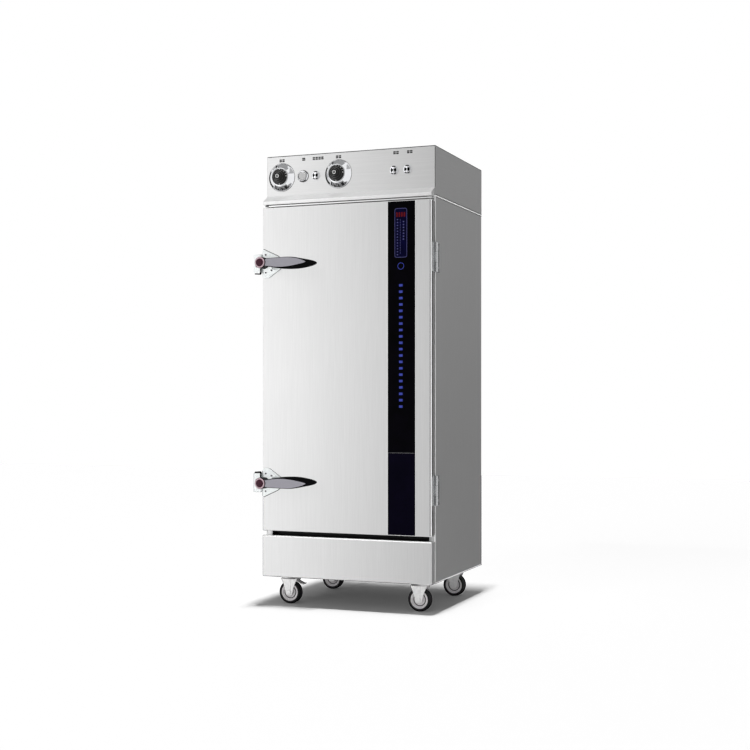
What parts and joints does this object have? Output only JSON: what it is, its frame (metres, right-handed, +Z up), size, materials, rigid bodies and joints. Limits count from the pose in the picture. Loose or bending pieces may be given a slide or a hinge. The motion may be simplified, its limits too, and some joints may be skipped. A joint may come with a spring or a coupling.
{
  "type": "rice steamer cabinet",
  "caption": "Floor-standing steamer cabinet on swivel casters: hinged insulated door with lever latches, tray racks over a heated water tank, and a panel of dials and lamps.",
  "frame": {"origin": "the floor under the middle of everything but the floor: the middle of the bounding box's footprint", "axes": "+Z up, the door and the control panel face -Y, the hinges are on the +X side"},
  "size_m": [0.7459, 0.7562, 1.7627],
  "materials": {
    "brushed_steel": "brushed",
    "satin_steel": "satin",
    "chrome": "polished",
    "black_plastic": "satin",
    "black_enamel": "gloss",
    "black_acrylic": "gloss",
    "white_silicone": "matte",
    "grey_plastic": "satin",
    "rubber": "matte",
    "zinc": "zinc plated",
    "brass": "satin",
    "copper_float": "satin",
    "heater_sheath": "oxidised"
  },
  "bodies": {
    "cabinet": {"base_pan": "satin_steel", "side_panel_left": "brushed_steel", "side_panel_right": "brushed_steel", "back_panel": "brushed_steel", "face_frame": "brushed_steel", "drip_gutter": "black_enamel", "skirt_panel": "brushed_steel", "chamber_liner": "satin_steel", "tray_rack_left": "satin_steel", "tray_rack_right": "satin_steel", "baffle_plate": "satin_steel", "heating_element": "heater_sheath", "float_valve": "brass", "drain_valve": "brass", "steam_vent": "satin_steel", "cable_gland": "black_plastic", "top_hood": "brushed_steel", "control_fascia": "brushed_steel", "timer_unit": "chrome", "thermostat_unit": "chrome", "button_collar": "chrome", "lamp_heat": "chrome", "lamp_work": "chrome", "lamp_power": "chrome", "keeper_top": "satin_steel", "keeper_bottom": "satin_steel", "hinge_frame_leaf_top": "satin_steel", "hinge_frame_leaf_bottom": "satin_steel", "caster_plate_front_left": "zinc", "caster_plate_front_right": "zinc", "caster_plate_rear_left": "zinc", "caster_plate_rear_right": "zinc"},
    "door": {"door_skin": "brushed_steel", "door_inner_pan": "satin_steel", "door_gasket": "white_silicone", "door_strip": "black_acrylic", "hinge_door_leaf_top": "satin_steel", "hinge_door_leaf_bottom": "satin_steel", "latch_base_top": "satin_steel", "latch_base_bottom": "satin_steel"},
    "latch_top": {"latch_handle_top": "black_plastic"},
    "latch_bottom": {"latch_handle_bottom": "black_plastic"},
    "timer_dial": {"timer_knob": "black_plastic"},
    "thermostat_dial": {"thermostat_knob": "black_plastic"},
    "button": {"start_button": "grey_plastic"},
    "float": {"float_arm": "copper_float"},
    "drain_handle": {"drain_lever": "zinc"},
    "caster_front_left": {"caster_fork_front_left": "zinc"},
    "caster_front_right": {"caster_fork_front_right": "zinc"},
    "caster_rear_left": {"caster_fork_rear_left": "zinc"},
    "caster_rear_right": {"caster_fork_rear_right": "zinc"},
    "wheel_front_left": {"wheel_hub_front_left": "grey_plastic", "tyre_front_left": "rubber"},
    "wheel_front_right": {"wheel_hub_front_right": "grey_plastic", "tyre_front_right": "rubber"},
    "wheel_rear_left": {"wheel_hub_rear_left": "grey_plastic", "tyre_rear_left": "rubber"},
    "wheel_rear_right": {"wheel_hub_rear_right": "grey_plastic", "tyre_rear_right": "rubber"},
    "pedal": {"brake_pedal": "zinc"}
  },
  "joints": [
    {"name": "door_swing", "type": "hinge", "parent": "cabinet", "child": "door", "pos_m": [0.36705, -0.28915, 0.925], "axis": [0, 0, 1], "range_deg": [0, 170]},
    {"name": "latch_top_turn", "type": "hinge", "parent": "door", "child": "latch_top", "pos_m": [-0.32725, -0.33615, 1.33875], "axis": [0, -1, 0], "range_deg": [0, 90]},
    {"name": "latch_bottom_turn", "type": "hinge", "parent": "door", "child": "latch_bottom", "pos_m": [-0.32725, -0.33615, 0.48075], "axis": [0, 1, 0], "range_deg": [0, 90]},
    {"name": "timer_turn", "type": "hinge", "parent": "cabinet", "child": "timer_dial", "pos_m": [-0.27425, -0.28615, 1.67875], "axis": [0, 1, 0], "range_deg": [0, 300]},
    {"name": "thermostat_turn", "type": "hinge", "parent": "cabinet", "child": "thermostat_dial", "pos_m": [-0.03325, -0.28615, 1.67875], "axis": [0, 1, 0], "range_deg": [0, 270]},
    {"name": "start_press", "type": "slide", "parent": "cabinet", "child": "button", "axis": [0, 1, 0], "range_m": [0, 0.004], "stiffness_N_per_m": 500},
    {"name": "float_swing", "type": "hinge", "parent": "cabinet", "child": "float", "pos_m": [0.24575, 0.24155, 0.28975], "axis": [-1, 0, 0], "range_deg": [0, 30]},
    {"name": "drain_turn", "type": "hinge", "parent": "cabinet", "child": "drain_handle", "pos_m": [-0.18925, 0.34615, 0.17985], "axis": [0, 0, 1], "range_deg": [0, 90]},
    {"name": "swivel_front_left", "type": "hinge", "parent": "cabinet", "child": "caster_front_left", "pos_m": [-0.27575, -0.23115, 0.09695], "axis": [0, 0, 1], "continuous": true},
    {"name": "swivel_front_right", "type": "hinge", "parent": "cabinet", "child": "caster_front_right", "pos_m": [0.29725, -0.23115, 0.09695], "axis": [0, 0, 1], "continuous": true},
    {"name": "swivel_rear_left", "type": "hinge", "parent": "cabinet", "child": "caster_rear_left", "pos_m": [-0.27575, 0.19385, 0.09695], "axis": [0, 0, 1], "continuous": true},
    {"name": "swivel_rear_right", "type": "hinge", "parent": "cabinet", "child": "caster_rear_right", "pos_m": [0.29725, 0.19385, 0.09695], "axis": [0, 0, 1], "continuous": true},
    {"name": "wheel_turn_front_left", "type": "hinge", "parent": "caster_front_left", "child": "wheel_front_left", "pos_m": [-0.26075, -0.23115, 0.04445], "axis": [0, 1, 0], "continuous": true},
    {"name": "wheel_turn_front_right", "type": "hinge", "parent": "caster_front_right", "child": "wheel_front_right", "pos_m": [0.28225, -0.23115, 0.04445], "axis": [0, 1, 0], "continuous": true},
    {"name": "wheel_turn_rear_left", "type": "hinge", "parent": "caster_rear_left", "child": "wheel_rear_left", "pos_m": [-0.26075, 0.19385, 0.04445], "axis": [0, 1, 0], "continuous": true},
    {"name": "wheel_turn_rear_right", "type": "hinge", "parent": "caster_rear_right", "child": "wheel_rear_right", "pos_m": [0.28225, 0.19385, 0.04445], "axis": [0, 1, 0], "continuous": true},
    {"name": "brake_lift", "type": "hinge", "parent": "caster_front_left", "child": "pedal", "pos_m": [-0.23475, -0.23115, 0.09045], "axis": [0, -1, 0], "range_deg": [0, 20]}
  ]
}
